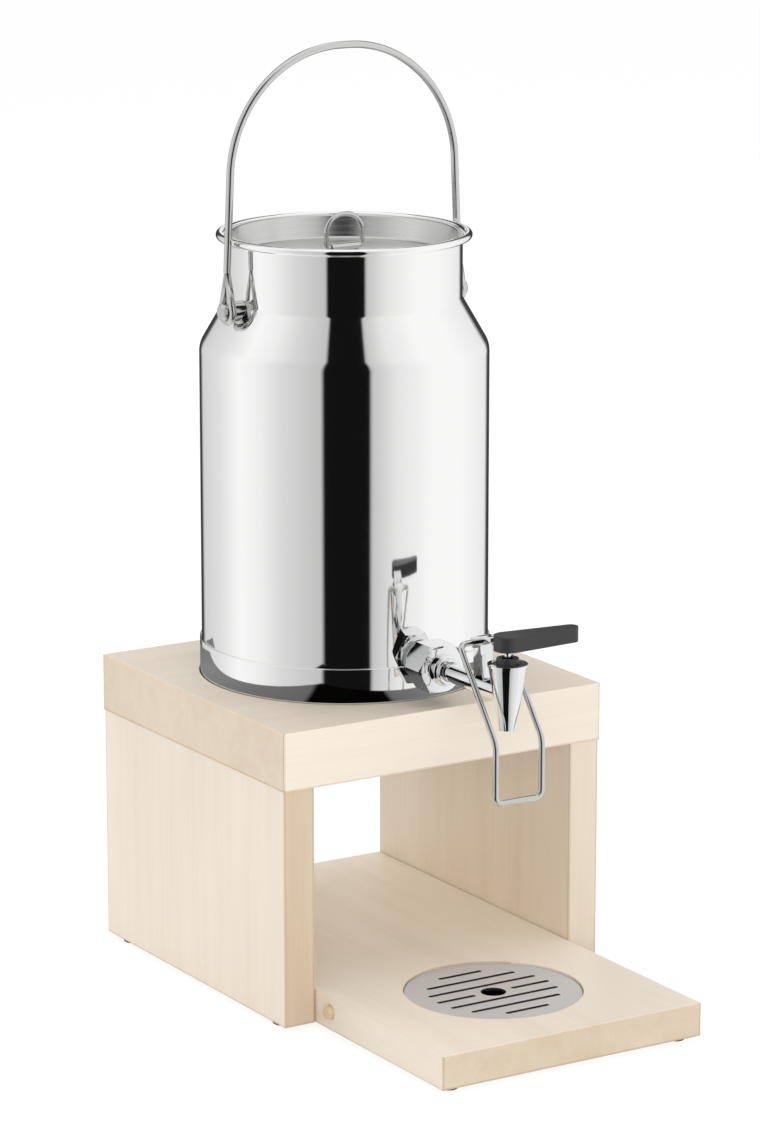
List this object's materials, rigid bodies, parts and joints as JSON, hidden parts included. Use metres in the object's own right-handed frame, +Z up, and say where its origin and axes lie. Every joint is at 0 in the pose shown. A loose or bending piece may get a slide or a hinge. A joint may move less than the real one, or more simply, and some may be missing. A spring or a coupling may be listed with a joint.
{
  "type": "milk dispenser",
  "caption": "Polished milk can with bail and lid on a wooden bridge, with a cup-operated push tap over a pull-out drip board with a slotted grid.",
  "frame": {"origin": "centre of the footprint, on the surface that the feet stand on", "axes": "+Z up, -Y to the front where the tap points, +X to the right side of someone behind the dispenser facing its front"},
  "size_m": [0.22, 0.355, 0.561],
  "materials": {
    "maple": "oiled, fine straight grain",
    "peg_wood": "plain turned dowel",
    "foot_rubber": "matte",
    "polished_steel": "mirror-polished stainless steel",
    "brushed_steel": "fine brushed stainless steel",
    "chrome": "polished plating",
    "spring_steel": "drawn wire",
    "black_plastic": "satin moulded",
    "seal_silicone": "translucent grey silicone"
  },
  "bodies": {
    "bridge": {"top_plate": "maple", "left_panel": "maple", "right_panel": "maple", "panel_dowels": "peg_wood", "panel_feet": "foot_rubber"},
    "board": {"drip_board": "maple", "stop_pegs": "peg_wood", "board_feet": "foot_rubber"},
    "tray": {"drip_tray": "brushed_steel"},
    "grid": {"drip_grid": "brushed_steel"},
    "can": {"can_body": "polished_steel", "can_neck": "polished_steel", "can_skirt": "polished_steel", "left_ear": "polished_steel", "right_ear": "polished_steel", "tap_body": "chrome", "outer_seal": "seal_silicone", "flange_washer": "chrome", "hex_nut": "chrome", "shank_collar": "chrome", "inner_seal": "seal_silicone", "lock_nut": "chrome", "bonnet": "black_plastic", "stem_seal": "seal_silicone", "return_spring": "spring_steel"},
    "lid": {"lid": "brushed_steel", "loop_strap": "brushed_steel"},
    "loop": {"lid_loop": "polished_steel"},
    "bail": {"bail_handle": "polished_steel"},
    "rocker": {"rocker_heel": "chrome", "lever_handle": "black_plastic", "lever_pin": "chrome", "cup_frame": "chrome"},
    "stem": {"valve_stem": "chrome", "poppet": "seal_silicone"}
  },
  "joints": [
    {"name": "board_slide", "type": "slide", "parent": "bridge", "child": "board", "axis": [0, -1, 0], "range_m": [-0.012, 0.15]},
    {"name": "tray_lift", "type": "slide", "parent": "board", "child": "tray", "axis": [0, 0, 1], "range_m": [0, 0.03]},
    {"name": "grid_lift", "type": "slide", "parent": "tray", "child": "grid", "axis": [0, 0, 1], "range_m": [0, 0.03]},
    {"name": "can_lift", "type": "slide", "parent": "bridge", "child": "can", "axis": [0, 0, 1], "range_m": [0, 0.04]},
    {"name": "lid_lift", "type": "slide", "parent": "can", "child": "lid", "axis": [0, 0, 1], "range_m": [0, 0.04]},
    {"name": "loop_fold", "type": "hinge", "parent": "lid", "child": "loop", "pos_m": [0, 0.0725, 0.439], "axis": [1, 0, 0], "range_deg": [-85, 85]},
    {"name": "bail_swing", "type": "hinge", "parent": "can", "child": "bail", "pos_m": [0, 0.0725, 0.407], "axis": [1, 0, 0], "range_deg": [-95, 95]},
    {"name": "tap_press", "type": "hinge", "parent": "can", "child": "rocker", "pos_m": [0, -0.0798, 0.23], "axis": [1, 0, 0], "range_deg": [0, 7], "stiffness_Nm_per_rad": 1.2, "springref_deg": -9.74},
    {"name": "stem_slide", "type": "slide", "parent": "can", "child": "stem", "axis": [0, 0, 1], "range_m": [-0.0037, 0], "deforming": ["return_spring"]}
  ],
  "couplings": [
    {"joint": "stem_slide", "follows": "tap_press", "m_per_rad": -0.0296}
  ]
}
